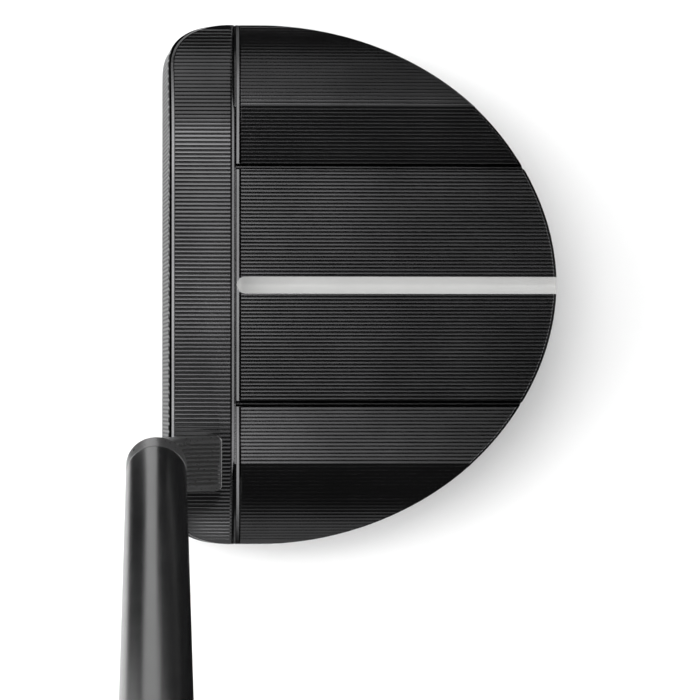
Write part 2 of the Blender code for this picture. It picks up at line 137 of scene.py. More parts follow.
NECK_BASE = np.array([32.9, -30.1])
NECK_FLAT = 3.9
NECK_ROUND = (1.0, 1.5)
NECK_DEPTHS = (4.3, 3.5)
NECK_LINE_PITCH = 0.78
NECK_LINE_DEPTH = 0.24
TENON_HALF = (4.0, 3.3)
TENON_BOTTOM = 13.3
COLLAR_S = (53.2, 57.9)
COLLAR_RADIUS = 5.35
POST_RADIUS = 3.7
POST_TOP_S = 80.0

SHAFT_TIP_S = 58.2
SHAFT_TIP_RADIUS = 5.35
SHAFT_TAPER = 0.0078
SHAFT_BUTT_RADIUS = 7.62
SHAFT_WALL = 0.5
SHAFT_BORE_RADIUS = 4.4
CLUB_LENGTH = 889.0
GRIP_WALL = 1.3
GRIP_INSET = 0.04  # keeps the embossed skin inside the CAD's box
GRIP_STATIONS = np.array(
    [  # distance along the axis, half width, height of the flat, depth of the back
        (622.0, 10.6, 9.9, 10.6),
        (640.0, 11.3, 10.1, 11.3),
        (700.0, 12.2, 10.3, 12.6),
        (770.0, 12.9, 10.5, 14.0),
        (830.0, 13.3, 10.6, 15.8),
        (868.0, 13.5, 10.7, 17.6),
        (882.0, 13.4, 10.7, 17.9),
        (889.0, 13.1, 10.6, 17.4),
    ]
)


DARK_CARDS = {  # corners on the floor
    "front_card": [
        (-18.0, -57.0), (22.0, -57.0), (28.0, -78.0),
        (32.0, -125.0), (-64.0, -110.0), (-34.0, -70.0),
    ],
    "rear_card": [
        (52.0, -25.0), (150.0, -25.0), (150.0, 160.0),
        (-95.0, 160.0), (-95.0, -18.0), (-50.0, -18.0),
    ],
}

# ---------------------------------------------------------------- meshes

def add_object(name, vertices, faces, materials, crease=32.0):
    """A smooth-shaded object from vertices in millimetres, with edges sharper than the crease kept."""
    data = bpy.data.meshes.new(name)
    data.from_pydata((np.asarray(vertices) * MM).tolist(), [], faces)
    for material in materials:
        data.materials.append(material)
    obj = bpy.data.objects.new(name, data)
    bpy.context.scene.collection.objects.link(obj)
    smooth(obj, crease)
    return obj


def smooth(obj, crease=32.0):
    obj.data.validate()
    obj.data.shade_smooth()
    obj.data.set_sharp_from_angle(angle=math.radians(crease))


def ring_faces(rings, points, closed):
    """Quads between rings of equally many points, and two end caps unless the body is closed on itself."""
    count = rings if closed else rings - 1
    i = np.arange(count)[:, None]
    j = np.arange(points)[None, :]
    following = (i + 1) % rings
    beside = (j + 1) % points
    quads = np.stack(
        [
            np.broadcast_to(i * points + j, (count, points)),
            i * points + beside,
            following * points + beside,
            np.broadcast_to(following * points + j, (count, points)),
        ],
        axis=-1,
    ).reshape(-1, 4)
    faces = quads.tolist()
    if not closed:
        last = (rings - 1) * points
        faces.append(list(range(points - 1, -1, -1)))
        faces.append(list(range(last, last + points)))
    return faces


def signed_volume(vertices, faces):
    """Six times the volume inside the faces: negative where they point inwards."""
    total = 0.0
    groups = {}
    for face in faces:
        groups.setdefault(len(face), []).append(face)
    for size, members in groups.items():
        corners = vertices[np.array(members)]
        for k in range(1, size - 1):
            cross = np.cross(corners[:, k], corners[:, k + 1])
            total += float((corners[:, 0] * cross).sum())
    return total


def ring_body(name, rings, materials, closed=False, crease=32.0):
    """An object through rings of points, an array of rings x points x 3, turned to face outwards."""
    rings = np.asarray(rings, float)
    count, points = rings.shape[:2]
    vertices = rings.reshape(-1, 3)
    faces = ring_faces(count, points, closed)
    if signed_volume(vertices, faces) < 0:
        faces = [face[::-1] for face in faces]
    return add_object(name, vertices, faces, materials, crease)


def circle(radius, sides):
    angles = math.tau * (np.arange(sides) + 0.5) / sides
    return np.stack([radius * np.cos(angles), radius * np.sin(angles)], axis=-1)


def turned(name, profile, x, y, materials, sides=64, closed=False, crease=32.0):
    rings = [np.column_stack([circle(r, sides) + (x, y), np.full(sides, z)]) for r, z in profile]
    return ring_body(name, rings, materials, closed, crease)


def prism(name, outline, low, high, materials=()):
    outline = np.asarray(outline, float)
    rings = [np.column_stack([outline, np.full(len(outline), z)]) for z in (low, high)]
    return ring_body(name, rings, materials)


def axis_ring(s, points):
    """Points given as (across, towards the upper side), at the distance s along the shaft axis."""
    centre = AXIS_GROUND + AXIS * s
    return centre + points[:, :1] * ACROSS + points[:, 1:2] * UPPER_SIDE


def joined(name, parts):
    """One object from several, which don't touch each other."""
    vertices, faces, start = [], [], 0
    for part in parts:
        vertices += [tuple(v.co / MM) for v in part.data.vertices]
        faces += [[start + v for v in face.vertices] for face in part.data.polygons]
        start = len(vertices)
        bpy.data.objects.remove(part, do_unlink=True)
    return add_object(name, vertices, faces, ())


def boolean(target, tool, operation):
    """Adds or takes away a closed body, and leaves only the result."""
    modifier = target.modifiers.new("cut", "BOOLEAN")
    modifier.operation = operation
    modifier.solver = "MANIFOLD"
    modifier.object = tool
    bpy.context.view_layer.update()
    evaluated = target.evaluated_get(bpy.context.evaluated_depsgraph_get())
    made = bpy.data.meshes.new_from_object(evaluated)
    target.modifiers.remove(modifier)
    old = target.data
    target.data = made
    bpy.data.meshes.remove(old)
    bpy.data.objects.remove(tool, do_unlink=True)


# ---------------------------------------------------------------- materials

class Look:
    """A Principled material and the nodes that vary it over the surface, in object coordinates."""

    def __init__(self, name, colour, roughness, metallic=0.0):
        self.material = bpy.data.materials.new(name)
        self.material.use_nodes = True
        self.tree = self.material.node_tree
        self.shader = self.tree.nodes["Principled BSDF"]
        self.shader.inputs["Base Color"].default_value = (*colour, 1.0)
        self.shader.inputs["Roughness"].default_value = roughness
        self.shader.inputs["Metallic"].default_value = metallic
        self.colour = colour
        self.place = self.node("ShaderNodeTexCoord").outputs["Object"]
        self.normal = None

    def node(self, kind, **settings):
        made = self.tree.nodes.new(kind)
        for key, value in settings.items():
            setattr(made, key, value)
        return made

    def link(self, output, socket):
        self.tree.links.new(output, socket)

    def stretched(self, scale):
        """Object coordinates scaled by this many repeats per metre along each axis."""
        mapping = self.node("ShaderNodeMapping")
        mapping.inputs["Scale"].default_value = scale
        self.link(self.place, mapping.inputs["Vector"])
        return mapping.outputs["Vector"]

    def noise(self, scale, detail=4.0, rough=0.55):
        made = self.node("ShaderNodeTexNoise")
        made.inputs["Scale"].default_value = 1.0
        made.inputs["Detail"].default_value = detail
        made.inputs["Roughness"].default_value = rough
        self.link(self.stretched(scale), made.inputs["Vector"])
        return made.outputs["Fac"]

    def spread(self, value, low, high, out_low, out_high):
        made = self.node("ShaderNodeMapRange")
        limits = {"From Min": low, "From Max": high, "To Min": out_low, "To Max": out_high}
        for socket, number in limits.items():
            made.inputs[socket].default_value = number
        self.link(value, made.inputs["Value"])
        return made.outputs["Result"]

    def mix_colour(self, factor, first, second):
        made = self.node("ShaderNodeMix", data_type="RGBA")
        self.link(factor, made.inputs["Factor"])
        for socket, value in ((made.inputs[6], first), (made.inputs[7], second)):
            if isinstance(value, tuple):
                socket.default_value = (*value, 1.0)
            else:
                self.link(value, socket)
        return made.outputs[2]

    def vary_colour(self, factor, other):
        """The base colour drifts towards another one where the factor is high."""
        current = self.shader.inputs["Base Color"]
        first = current.links[0].from_socket if current.is_linked else self.colour
        self.link(self.mix_colour(factor, first, other), current)

    def vary_roughness(self, factor, low, high):
        self.link(self.spread(factor, 0.3, 0.7, low, high), self.shader.inputs["Roughness"])

    def bump(self, height, distance, strength=1.0):
        made = self.node("ShaderNodeBump")
        made.inputs["Strength"].default_value = strength
        made.inputs["Distance"].default_value = distance
        self.link(height, made.inputs["Height"])
        if self.normal is not None:
            self.link(self.normal, made.inputs["Normal"])
        self.normal = made.outputs["Normal"]
        self.link(self.normal, self.shader.inputs["Normal"])

    def worn_edges(self, colour, start=0.55, end=0.62):
        """Convex edges show a little of another colour, broken up by a fine noise."""
        edge = self.node("ShaderNodeNewGeometry").outputs["Pointiness"]
        edge = self.spread(edge, start, end, 0.0, 1.0)
        patchy = self.spread(self.noise((900, 900, 900)), 0.35, 0.7, 0.2, 1.0)
        product = self.node("ShaderNodeMath", operation="MULTIPLY")
        self.link(edge, product.inputs[0])
        self.link(patchy, product.inputs[1])
        self.vary_colour(product.outputs[0], colour)


def coated_metal(name, colour, roughness, streak):
    """Black coated, machined metal: fine tool streaks along one axis, a mottled sheen, worn edges."""
    look = Look(name, colour, roughness, 1.0)
    cloud = look.noise((60, 60, 60))
    look.vary_colour(look.spread(cloud, 0.35, 0.7, 0.0, 1.0), tuple(1.35 * c for c in colour))
    grain = look.noise(streak, 3.0)
    look.vary_roughness(grain, roughness - 0.03, roughness + 0.04)
    look.bump(grain, 0.0000015, 0.5)
    look.worn_edges(tuple(1.6 * c + 0.01 for c in colour), 0.62, 0.72)
    return look.material


def oxide_black(name, colour, roughness, streak):
    """Black oxide on steel: deep black with a faint powdery part under its sheen."""
    look = Look(name, colour, roughness)
    look.shader.inputs["IOR"].default_value = 1.65
    blotches = look.spread(look.noise((60, 60, 60)), 0.35, 0.7, 0.0, 1.0)
    look.vary_colour(blotches, tuple(1.4 * c for c in colour))
    grain = look.noise(streak, 3.0)
    look.vary_roughness(grain, roughness - 0.04, roughness + 0.05)
    look.bump(grain, 0.0000015, 0.5)
    look.worn_edges(tuple(2.5 * c for c in colour), 0.62, 0.72)
    return look.material


def bare_metal(name, colour, roughness, streak):
    look = Look(name, colour, roughness, 1.0)
    grain = look.noise(streak, 3.0)
    look.vary_colour(look.spread(grain, 0.3, 0.7, 0.0, 1.0), tuple(0.8 * c for c in colour))
    look.vary_roughness(look.noise((120, 120, 120)), roughness - 0.06, roughness + 0.08)
    look.bump(grain, 0.000008, 0.5)
    return look.material


def gloss_paint(name, colour):
    """Sprayed gloss black on the shaft: faint orange peel under a clear coat."""
    look = Look(name, colour, 0.2)
    look.shader.inputs["IOR"].default_value = 1.62
    blotches = look.spread(look.noise((40, 40, 12)), 0.35, 0.7, 0.0, 1.0)
    look.vary_colour(blotches, tuple(1.6 * c for c in colour))
    look.vary_roughness(look.noise((150, 150, 60)), 0.22, 0.26)
    look.bump(look.noise((700, 700, 350), 2.0), 0.000003, 0.5)
    return look.material


def matte(name, colour, other, roughness, grain_scale, bump_distance, sheen=0.0):
    look = Look(name, colour, roughness)
    look.shader.inputs["Sheen Weight"].default_value = sheen
    cloud = look.noise((45, 45, 45))
    look.vary_colour(look.spread(cloud, 0.35, 0.7, 0.0, 1.0), other)
    grain = look.noise((grain_scale,) * 3, 3.0)
    look.vary_roughness(grain, roughness - 0.07, roughness + 0.07)
    look.bump(grain, bump_distance)
    return look.material


def make_materials():
    made = {
        "head": coated_metal("black_milled_metal", (0.050, 0.050, 0.051), 0.18, (9000, 90, 2500)),
        "neck": oxide_black("black_neck_oxide", (0.032, 0.032, 0.0325), 0.30, (2500, 2500, 120)),
        # painted shade: a near-black matte for the bottoms of the neck's milled grooves
        "neck_groove_shade": matte("painted_shade_neck_grooves", (0.0015,) * 3, (0.003,) * 3, 0.8, 3000, 0.000002),
        "shaft": gloss_paint("gloss_black_shaft", (0.004, 0.004, 0.0042)),
        "paint": matte("white_sight_paint", (0.42, 0.42, 0.415), (0.38, 0.38, 0.375), 0.45, 2600, 0.000004),
        "plate": bare_metal("dark_anodised_plate", (0.045, 0.045, 0.05), 0.36, (8000, 150, 150)),
        "screw": bare_metal("zinc_screw", (0.40, 0.40, 0.42), 0.30, (3000, 3000, 9000)),
        "tungsten": bare_metal("turned_tungsten", (0.20, 0.20, 0.215), 0.28, (2500, 2500, 2500)),
        "seal": matte("seal_rubber", (0.008, 0.008, 0.008), (0.014, 0.014, 0.014), 0.62, 5000, 0.000004),
        "core": matte("damping_polymer", (0.06, 0.09, 0.10), (0.09, 0.13, 0.14), 0.55, 1500, 0.00005),
        "epoxy": matte("cured_epoxy", (0.50, 0.43, 0.26), (0.38, 0.30, 0.15), 0.30, 900, 0.00002),
        "tape": matte("grip_tape_paper", (0.70, 0.66, 0.54), (0.60, 0.54, 0.42), 0.78, 4000, 0.00003),
        "foam": matte("grip_foam", (0.10, 0.10, 0.11), (0.15, 0.15, 0.16), 0.88, 2200, 0.0001),
        "grip": matte("grip_polyurethane", (0.007, 0.007, 0.0075), (0.011, 0.011, 0.012), 0.55, 3800, 0.00001),
        "cap": matte("grip_cap_rubber", (0.010, 0.010, 0.011), (0.015, 0.015, 0.016), 0.5, 3000, 0.00001),
    }
    return made


# ---------------------------------------------------------------- head shape

def outline_y(x, inset=0.0):
    share = np.minimum(np.abs(x - HEAD_CENTRE_X) / (HEAD_HALF_LENGTH + 0.014 - inset), 1.0)
    rest = (1.0 - share**OUTLINE_POWER) ** (1.0 / OUTLINE_POWER)
    return OUTLINE_CENTRE_Y + (OUTLINE_DEPTH - inset) * rest


def front_y(x):
    beyond = np.maximum(np.abs(x - HEAD_CENTRE_X) - CORNER_START, 0.0)
    share = np.minimum(beyond / (HEAD_HALF_LENGTH + 0.014 - CORNER_START), 1.0)
    rest = (1.0 - share**CORNER_POWER) ** (1.0 / CORNER_POWER)
    return CORNER_BACK_Y + (LEADING_Y - CORNER_BACK_Y) * rest


def roll_down(distance, radius):
    return radius - np.sqrt(radius**2 - distance**2)


def bar_z(x):
    return BAR_TOP - roll_down(np.maximum(np.abs(x) - BAR_FLAT, 0.0), BAR_ROLL)


def bar_top(x, y):
    """The top of the bar, which falls a little towards the face."""
    return bar_z(x) - math.tan(BAR_FALL) * (BAR_REAR_Y - y)


def deck_z(x):
    away = np.abs(x)
    rise = math.tan(SHOULDER_SLOPE) * (np.minimum(away, RIDGE_X) - CHANNEL_X)
    crest = roll_down(RIDGE_X - WING_CENTRE_X, WING_ROLL)
    wing = crest - roll_down(np.maximum(away, RIDGE_X) - WING_CENTRE_X, WING_ROLL)
    return np.where(away < CHANNEL_X, PLATEAU_TOP, SHOULDER_LOW + rise + wing)


def sole_z(x):
    return roll_down(np.maximum(np.abs(x - HEAD_CENTRE_X) - SOLE_FLAT, 0.0), SOLE_ROLL)


def scallops(arc, pitch, depth):
    """Milled lines: shallow hollows with a sharp scratch between each pair."""
    phase = (arc / pitch) % 1.0 - 0.5
    return np.where(np.abs(phase) > 0.47, -LINE_SCRATCH, -depth * (1.0 - 4.0 * phase**2))


def bar_arc(x):
    """Distance along the bar's top from the middle, so that lines keep their pitch down its ends."""
    beyond = np.maximum(np.abs(x) - BAR_FLAT, 0.0)
    return np.sign(x) * (np.minimum(np.abs(x), BAR_FLAT) + BAR_ROLL * np.arcsin(beyond / BAR_ROLL))


def bar_x(arc):
    beyond = np.maximum(np.abs(arc) - BAR_FLAT, 0.0)
    return np.sign(arc) * (np.minimum(np.abs(arc), BAR_FLAT) + BAR_ROLL * np.sin(beyond / BAR_ROLL))


def wing_turn(x):
    return np.arcsin((x - WING_CENTRE_X) / WING_ROLL)


def deck_arc(x):
    away = np.abs(x)
    beyond = WING_ROLL * (wing_turn(np.maximum(away, RIDGE_X)) - wing_turn(RIDGE_X))
    return np.sign(x) * (np.minimum(away, RIDGE_X) + beyond)


def deck_x(arc):
    away = np.abs(arc)
    turn = np.maximum(away - RIDGE_X, 0.0) / WING_ROLL + wing_turn(RIDGE_X)
    return np.sign(arc) * np.where(away < RIDGE_X, away, WING_CENTRE_X + WING_ROLL * np.sin(turn))


def end_columns():
    """Extra columns close to the toe and the heel, where the outline turns fastest."""
    steps = HEAD_HALF_LENGTH - 0.5 * (np.arange(1, 9) / 8.0) ** 2.5
    return np.concatenate([-steps, steps, [-HEAD_HALF_LENGTH, HEAD_HALF_LENGTH]]) + HEAD_CENTRE_X


def columns(to_x, to_arc, pitch, per_line, creases=()):
    """Columns that follow the milled lines, with creases and the rounded ends added."""
    low, high = HEAD_CENTRE_X - HEAD_HALF_LENGTH, HEAD_CENTRE_X + HEAD_HALF_LENGTH
    step = pitch / per_line
    first, last = math.ceil(to_arc(np.array(low)) / step), math.floor(to_arc(np.array(high)) / step)
    even = to_x(np.arange(first, last + 1) * step)
    even = even[(even > low + 0.5) & (even < high - 0.5)]
    fixed = np.concatenate([end_columns(), creases])
    near = np.abs(even[:, None] - fixed[None, :]).min(axis=1) < 0.03
    return np.unique(np.concatenate([even[~near], fixed]))


def face_relief(x, below, above):
    """Rows of flat-topped diamonds, cut off at the top and ending above the sole."""
    def ridge(t):
        return np.abs((t / FACE_PITCH) % 1.0 - 0.5) * 2.0

    grooves = 1.0 - np.minimum(ridge(x + below), ridge(x - below))
    cut = np.clip((grooves - 0.45) / 0.55, 0.0, 1.0)
    inside = np.minimum(43.2 - np.abs(x - HEAD_CENTRE_X), above - 2.6)
    return FACE_RELIEF * cut * np.clip(inside / 0.3, 0.0, 1.0)


def rows_to_rings(rows):
    """Rows of (y, z) over the columns x, as rings with one point for each row."""
    x, pairs = rows
    points = [np.column_stack(np.broadcast_arrays(x, y, z)) for y, z in pairs]
    return np.stack(points, axis=1)


def front_rows(per_line, face_rows):
    """The front of the head: leading edge, milled face, bevel and the bar's lined top."""
    x = columns(bar_x, bar_arc, BAR_LINE_PITCH, per_line, [-BAR_FLAT, BAR_FLAT])
    front, back, sole, bar, deck = front_y(x), outline_y(x), sole_z(x), bar_z(x), deck_z(x)
    depth = back - front
    lean = math.tan(LOFT)
    lead = np.minimum(1.8, 0.2 * depth)
    face_top = bar_top(x, front)
    face_top_y = front + lean * face_top
    room = np.minimum((BAR_REAR_Y - face_top_y) / 6.0, 1.0)
    bevel = BEVEL_SIZE * room
    rear_round = np.minimum(BAR_REAR_ROUND, 0.4 * (BAR_REAR_Y - face_top_y))
    lines = scallops(bar_arc(x), BAR_LINE_PITCH, BAR_LINE_DEPTH)
    floor = np.minimum(bar, deck) - GROOVE_DEPTH
    bottom_y = GROOVE_FRONT_Y + 0.12
    pairs = [(bottom_y, sole), (front + lead, sole)]
    for turn in (0.25, 0.5, 0.75):
        angle = turn * math.pi / 2
        out = 1.0 - math.sin(angle)
        pairs.append((front + lead * out + 0.08 * (1 - out), sole + 1.6 * (1.0 - math.cos(angle))))
    low, high = sole + 1.6, face_top - 0.5 - 0.75 * room
    for row in range(face_rows, -1, -1):
        down = row * FACE_PITCH / ROWS_PER_PITCH
        z = np.maximum(high - down, low + 0.01 * (face_rows - row))
        face = front + lean * np.maximum(z - FACE_FOOT, 0.0)
        pairs.append((face + face_relief(x, high - z, z - sole), z))
    pairs += [(face + step * room, high + lift * room) for step, lift in SLOT_STEPS]
    bevel_y = face_top_y + BEVEL_BACK * room
    flat_start, flat_end = bevel_y + 0.15, BAR_REAR_Y - rear_round
    pairs += [
        (bevel_y - 1.03 * bevel, face_top - 1.25 * bevel),
        (bevel_y - bevel, face_top - 0.75 * bevel),
        (bevel_y - 0.06, bar_top(x, bevel_y) - 0.10 * bevel),
        (bevel_y + 0.02, bar_top(x, bevel_y) - 0.005),
        (flat_start, bar_top(x, flat_start) + lines),
        (flat_start + 0.06, bar_top(x, flat_start + 0.06) + lines),
        (flat_end - 0.06, bar_top(x, flat_end - 0.06) + lines),
        (flat_end, bar_top(x, flat_end) + lines),
    ]
    for along, down in BAR_SHOULDER:
        pairs.append((flat_end + along * rear_round, bar - down * rear_round))
    pairs += [
        (GROOVE_FRONT_Y, floor),
        (bottom_y, floor),
        (bottom_y, np.minimum(floor, sole + 8.0) - 1.0),
    ]
    return x, pairs


def rear_rows(per_line):
    """The rest of the head: groove, rounded lip, lined deck, rim, and the wall round to the sole."""
    half = CHANNEL_WIDTH / 2
    creases = np.array([RIDGE_X, CHANNEL_X - half, CHANNEL_X, CHANNEL_X + half])
    x = columns(deck_x, deck_arc, DECK_LINE_PITCH, per_line, np.concatenate([-creases, creases]))
    front, back, sole, bar, deck = front_y(x), outline_y(x), sole_z(x), bar_z(x), deck_z(x)
    floor = np.minimum(bar, deck) - GROOVE_DEPTH
    lines = scallops(deck_arc(x), DECK_LINE_PITCH, DECK_LINE_DEPTH)
    between_ridges = np.abs(x) < RIDGE_X
    rim = np.where(between_ridges, 0.5, 0.14)
    under = np.minimum(6.0, 0.3 * (back - front))
    start = GROOVE_FRONT_Y + 0.06
    pairs = [(start, sole), (start, floor), (GROOVE_BACK_Y, floor)]
    pairs += [(GROOVE_BACK_Y + step, deck + lift) for step, lift in LIP]
    flat_end = np.maximum(back - rim - 0.12, DECK_FRONT_Y + 0.3)
    pairs += [
        (DECK_FRONT_Y, deck + lines),
        (DECK_FRONT_Y + 0.08, deck + lines),
        (flat_end - 0.08, deck + lines),
        (flat_end, deck + lines),
        (back - rim, deck - 0.01),
        (back - 0.08, deck - rim),
        (back, deck - 1.25 * rim - 0.1),
        (back - 0.1 * under, sole + 6.5),
    ]
    for turn in np.arange(1, 9) / 8:
        angle = turn * math.pi / 2
        inward = 0.1 + 0.9 * (1.0 - math.cos(angle))
        pairs.append((back - inward * under, sole + 6.5 * (1.0 - math.sin(angle))))
    return x, pairs


def half_moon(inset, straight_y, count=96):
    low, high = 0.0, HEAD_HALF_LENGTH - inset
    for _ in range(40):
        middle = (low + high) / 2
        if outline_y(HEAD_CENTRE_X + middle, inset) > straight_y:
            low = middle
        else:
            high = middle
    angles = math.pi / 2 * (2 * np.arange(count) / (count - 1) - 1)
    x = HEAD_CENTRE_X + low * np.sin(angles)
    return np.column_stack([x, np.maximum(outline_y(x, inset), straight_y)])


def rounded_rectangle(half_x, half_y, corner, sides):
    """Points round a rectangle, a quarter of them on each rounded corner."""
    each = sides // 4
    quarter, step = np.divmod(np.arange(sides), each)
    angle = math.pi / 2 * (quarter + step / (each - 1))
    sign_x = np.where(np.isin(quarter, (0, 3)), 1, -1)
    sign_y = np.where(np.isin(quarter, (0, 1)), 1, -1)
    x = sign_x * (half_x - corner[0]) + corner[0] * np.cos(angle)
    y = sign_y * (half_y - corner[1]) + corner[1] * np.sin(angle)
    return np.column_stack([x, y])


def sight_outline(offset, front_shift, back_y, steps=24):
    radius = SIGHT_HALF_WIDTH - offset
    centre_y = SIGHT_FRONT_Y + SIGHT_HALF_WIDTH + front_shift
    angles = math.pi * (1 + np.arange(steps + 1) / steps)
    front = np.column_stack([radius * np.cos(angles), centre_y + radius * np.sin(angles)])
    return np.vstack([[-radius, back_y], front, [radius, back_y]])


def node_centre(node):
    low, high = box_mm(node)
    return (low + high) / 2


def channel_tool(x, back_y):
    """A narrow groove with a sharp bottom."""
    half = CHANNEL_WIDTH / 2
    shape = [(-0.1, -1.6), (0.1, -1.6), (half, -0.1), (half, 3.0), (-half, 3.0), (-half, -0.1)]
    rings = [[(x + u, y, SHOULDER_LOW + v) for u, v in shape] for y in (GROOVE_BACK_Y + 0.02, back_y)]
    return ring_body("tool", rings, ())


def make_head(metal):
    front = ring_body("head_milled", rows_to_rings(front_rows(5, 60)), [metal])
    rear = ring_body("head_rear", rows_to_rings(rear_rows(7)), [metal])
    boolean(front, rear, "UNION")
    beyond, above = 40.0, BAR_TOP + 5.0
    first, second = [], []
    for side in (-1, 1):
        first.append(channel_tool(side * CHANNEL_X, beyond))
    for label in ("toe", "heel"):
        x, y, _ = node_centre(f"{label}_weight")
        seat = box_mm(f"{label}_weight_seal")[1][2] + GAP
        top = box_mm(f"{label}_weight")[1][2] + 0.7
        head, thread = WEIGHT_HEAD_RADIUS + GAP, WEIGHT_THREAD_RADIUS + GAP
        entry = [(head + 0.4, -1.0), (head + 0.4, 0.0), (head, 0.4)]
        bore = entry + [(head, seat), (thread, seat), (thread, top)]
        first.append(turned("tool", bore, x, y, (), 96))
    plate_low, plate_high = box_mm("sole_plate")
    recess = half_moon(8.5 - GAP, plate_low[1] - GAP)
    first.append(prism("tool", recess, -1.0, plate_high[2] + GAP))
    socket = rounded_rectangle(TENON_HALF[0] + 0.05, TENON_HALF[1] + 0.05, (0.6, 0.6), 32) + NECK_BASE
    first.append(prism("tool", socket, TENON_BOTTOM - GAP, above))
    boolean(front, joined("tools", first), "DIFFERENCE")
    second.append(prism("tool", sight_outline(0.0, 0.0, beyond), SIGHT_FLOOR, above))
    core_low, core_high = box_mm("damping_core")
    second.append(prism("tool", half_moon(14.0, core_low[1] - GAP), -1.0, core_high[2] + GAP))
    for number in range(1, 7):
        x, y, _ = node_centre(f"sole_screw_{number}")
        second.append(turned("tool", [(1.4, 0.5), (1.4, 8.6)], x, y, (), 24))
    hole = [(4.1, -1.0), (4.1, 0.0), (3.8, 0.3), (3.8, 4.3), (2.2, 4.3), (2.2, TENON_BOTTOM + 1.0)]
    second.append(turned("tool", hole, *NECK_BASE, (), 64))
    boolean(front, joined("tools", second), "DIFFERENCE")
    smooth(front, HEAD_CREASE)
    return front


def make_sight_paint(paint):
    """Paint that fills the slot's hollow: concave across, rounded at the front."""
    across = np.linspace(-1.0, 1.0, 25)
    back_y = float(outline_y(np.array(0.0))) - 0.03
    radius = SIGHT_HALF_WIDTH - 0.004
    centre_y = SIGHT_FRONT_Y + SIGHT_HALF_WIDTH
    rings = []
    stations = [centre_y - radius * math.cos(a) for a in np.linspace(0.06, math.pi / 2, 18)]
    stations += [centre_y + 2.0, back_y - 6.0, back_y]
    for y in stations:
        ahead = max(centre_y - y, 0.0)
        half = math.sqrt(max(radius**2 - ahead**2, 0.0))
        x = across * half
        reach = np.sqrt(np.minimum((x / radius) ** 2 + (ahead / radius) ** 2, 1.0))
        hollow = SIGHT_FLOOR + 0.30 + 1.05 * (0.35 * reach**2 + 0.65 * np.maximum(reach - 0.1, 0.0) ** 1.2)
        under = np.full_like(x, SIGHT_FLOOR + 0.02)
        top = np.column_stack([x, np.full_like(x, y), hollow])
        bottom = np.column_stack([x, np.full_like(x, y), under])[::-1]
        rings.append(np.vstack([top, bottom]))
    return ring_body("sight_line_paint", rings, [paint], crease=50.0)


# ---------------------------------------------------------------- threaded and turned pieces

def thread_rings(x, y, radius, depth, pitch, low, high, sides=64, per_turn=8):
    """The outside of a screw thread: a cylinder whose radius follows a helix, faded at both ends."""
    levels = np.linspace(low, high, max(2, int((high - low) / pitch * per_turn)))
    angles = math.tau * (np.arange(sides) + 0.5) / sides
    rings = []
    for z in levels:
        phase = (z / pitch - angles / math.tau) % 1.0
        fade = min(1.0, (z - low) / (0.6 * pitch), (high - z) / (0.6 * pitch))
        r = radius - depth * np.abs(2.0 * phase - 1.0) * max(fade, 0.0)
        rings.append(np.column_stack([x + r * np.cos(angles), y + r * np.sin(angles), np.full(sides, z)]))
    return rings


def plain_rings(profile, x, y, sides):
    return [np.column_stack([circle(r, sides) + (x, y), np.full(sides, z)]) for r, z in profile]


def hex_tool(x, y, radius, low, high):
    rings = [np.column_stack([circle(radius, 6) + (x, y), np.full(6, z)]) for z in (low, high)]
    cone = np.column_stack([circle(radius * 0.25, 6) + (x, y), np.full(6, high + radius * 0.35)])
    return ring_body("tool", [*rings, cone], ())


def make_weight(label, metal):
    x, y, _ = node_centre(f"{label}_weight")
    low, high = box_mm(f"{label}_weight")
    bottom, top = low[2], high[2]
    shoulder = box_mm(f"{label}_weight_seal")[0][2] - 0.1
    radius, thread = WEIGHT_HEAD_RADIUS, WEIGHT_THREAD_RADIUS
    sides = 96
    profile = [
        (radius - 2.6, bottom + 0.12), (radius - 2.45, bottom), (radius - 0.45, bottom),
        (radius - 0.15, bottom + 0.12), (radius, bottom + 0.42), (radius, shoulder - 0.12),
        (radius - 0.12, shoulder), (thread + 0.3, shoulder), (thread - 0.35, shoulder + 0.35),
    ]
    rings = plain_rings(profile, x, y, sides)
    rings += thread_rings(x, y, thread, 0.45, THREAD_PITCH, shoulder + 0.5, top - 0.6, sides)
    rings += plain_rings([(thread - 0.25, top - 0.45), (thread - 0.7, top)], x, y, sides)
    weight = ring_body(f"{label}_weight_turned", rings, [metal])
    boolean(weight, hex_tool(x, y, 3.1, -0.5, 4.0), "DIFFERENCE")
    smooth(weight, 34.0)
    return weight


def make_seal(label, rubber):
    """A round-section ring under the weight's head."""
    x, y, _ = node_centre(f"{label}_weight_seal")
    low, high = box_mm(f"{label}_weight_seal")
    outer = (high[0] - low[0]) / 2
    inner = outer - 0.9
    middle, half = (outer + inner) / 2, (high[2] - low[2]) / 2
    centre_z = (low[2] + high[2]) / 2
    angles = math.tau * np.arange(16) / 16
    profile = [(middle + (outer - middle) * math.cos(a), centre_z + half * math.sin(a)) for a in angles]
    return turned(f"{label}_seal_ring", profile, x, y, [rubber], 96, True)


def make_sole_screw(number, metal):
    """A small countersunk screw with a hexagon socket and a cut thread."""
    x, y, _ = node_centre(f"sole_screw_{number}")
    low, high = box_mm(f"sole_screw_{number}")
    bottom, top = low[2], high[2]
    sides = 40
    profile = [(1.5, bottom + 0.05), (2.25, bottom), (2.45, bottom + 0.12), (1.15, bottom + 1.4)]
    rings = plain_rings(profile, x, y, sides)
    rings += thread_rings(x, y, 1.15, 0.18, 0.45, bottom + 1.5, top - 0.35, sides)
    rings += plain_rings([(1.0, top - 0.3), (0.8, top)], x, y, sides)
    screw = ring_body(f"sole_screw_{number}_cut", rings, [metal])
    boolean(screw, hex_tool(x, y, 1.0, -0.5, bottom + 0.95), "DIFFERENCE")
    smooth(screw, 34.0)
    return screw


